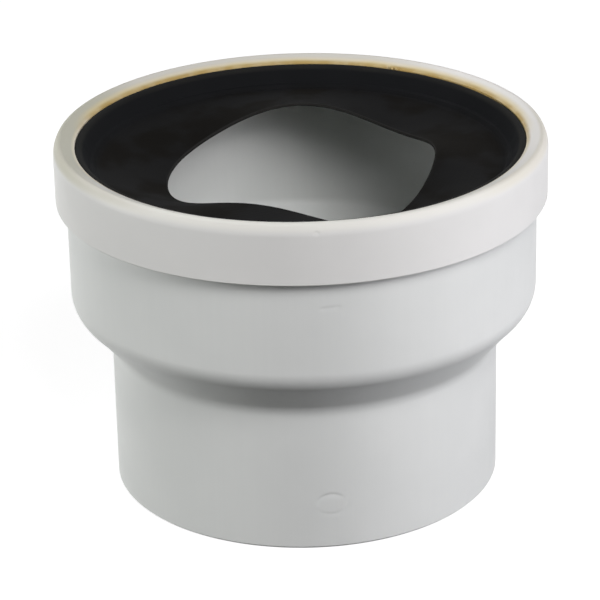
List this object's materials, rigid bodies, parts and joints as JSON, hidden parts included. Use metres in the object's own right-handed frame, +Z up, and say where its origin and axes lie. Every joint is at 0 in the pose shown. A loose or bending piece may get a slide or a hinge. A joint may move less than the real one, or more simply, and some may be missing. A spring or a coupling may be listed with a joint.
{
  "type": "straight pan connector",
  "caption": "White plastic straight pan connector: plain spigot below, wider socket above, closed by a cemented collar that holds a black rubber diaphragm seal.",
  "frame": {"origin": "centre of the spigot's foot, on the common axis", "axes": "+Z up the common axis, from the spigot's foot to the socket's mouth; -Y is the side that faces the picture's camera"},
  "size_m": [0.138, 0.138, 0.1021],
  "materials": {
    "moulded_pvc": "satin white",
    "collar_pvc": "satin white",
    "seal_rubber": "soft black"
  },
  "bodies": {
    "root": {"body": "moulded_pvc", "retaining_collar": "collar_pvc", "seal": "seal_rubber"}
  },
  "joints": []
}
